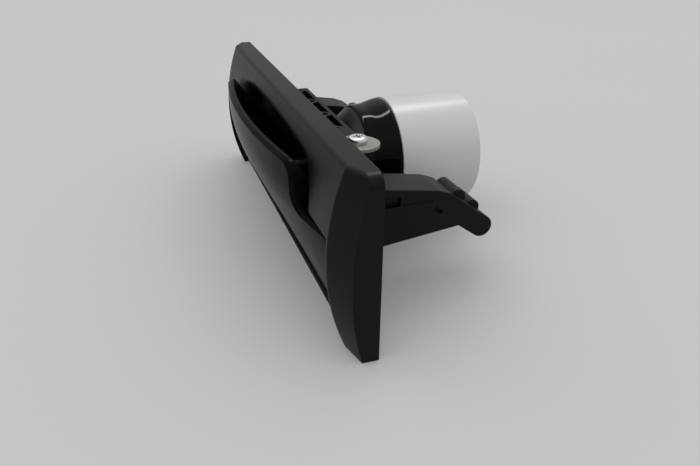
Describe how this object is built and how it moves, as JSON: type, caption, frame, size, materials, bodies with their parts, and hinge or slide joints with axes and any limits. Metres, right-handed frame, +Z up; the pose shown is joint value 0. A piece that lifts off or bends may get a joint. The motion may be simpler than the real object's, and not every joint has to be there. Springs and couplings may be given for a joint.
{
  "type": "toe-kick sweep inlet",
  "caption": "Floor-level suction inlet for a plinth: crowned bezel, toe flap hinged along the floor, suction box, duct with pipe stub, two rear arms and a start switch with wire terminal.",
  "frame": {"origin": "on the floor, at mid-length of the bezel, in the plane of the bezel's rear face", "axes": "+X along the bezel to the end with the wire terminal, +Y to the rear along the pipe, +Z up from the floor"},
  "size_m": [0.204, 0.1013, 0.066],
  "materials": {
    "charcoal": "satin moulded",
    "flap": "satin moulded, slightly smoother than the bezel",
    "inner_black": "fine moulded",
    "duct_black": "gloss moulded",
    "pipe_white": "smooth extruded",
    "rubber": "matt",
    "zinc": "zinc plated",
    "black_steel": "blackened",
    "steel": "drawn bright",
    "brass": "stamped",
    "switch_case": "moulded",
    "acetal": "turned"
  },
  "bodies": {
    "housing": {"bezel": "charcoal", "back_plate": "inner_black", "suction_box": "inner_black", "rib_frame": "inner_black", "suction_duct": "duct_black", "spigot_seal": "rubber", "pipe_stub": "pipe_white", "right_arm": "charcoal", "left_arm": "charcoal", "right_bush": "acetal", "left_bush": "acetal", "stop_buffers": "rubber", "terminal_bracket": "inner_black", "terminal_washer": "zinc", "terminal_screw": "zinc", "terminal_nut": "zinc", "switch_body": "switch_case", "switch_terminals": "brass", "switch_screws": "steel", "lever_pin": "steel", "plate_screws": "black_steel", "arm_screws": "black_steel", "duct_screws": "black_steel", "floor_seal": "rubber"},
    "flap": {"flap_panel": "flap", "striker": "rubber", "right_pin": "steel", "left_pin": "steel", "right_spring": "steel", "left_spring": "steel"},
    "lever": {"switch_lever": "steel"},
    "plunger": {"switch_plunger": "acetal"}
  },
  "joints": [
    {"name": "toe_flap", "type": "hinge", "parent": "housing", "child": "flap", "pos_m": [0, -0.005, 0.0046], "axis": [1, 0, 0], "range_deg": [0, 69], "stiffness_Nm_per_rad": 0.02, "springref_deg": -17.19},
    {"name": "lever_turn", "type": "hinge", "parent": "housing", "child": "lever", "pos_m": [0.0316, 0.0016, 0.0489], "axis": [0, 0, -1], "range_deg": [0, 6]},
    {"name": "plunger_slide", "type": "slide", "parent": "housing", "child": "plunger", "axis": [0, -1, 0], "range_m": [0, 0.00034]}
  ],
  "couplings": [
    {"joint": "lever_turn", "follows": "toe_flap", "ratio": 0.086956},
    {"joint": "plunger_slide", "follows": "toe_flap", "m_per_rad": 0.00028204}
  ]
}
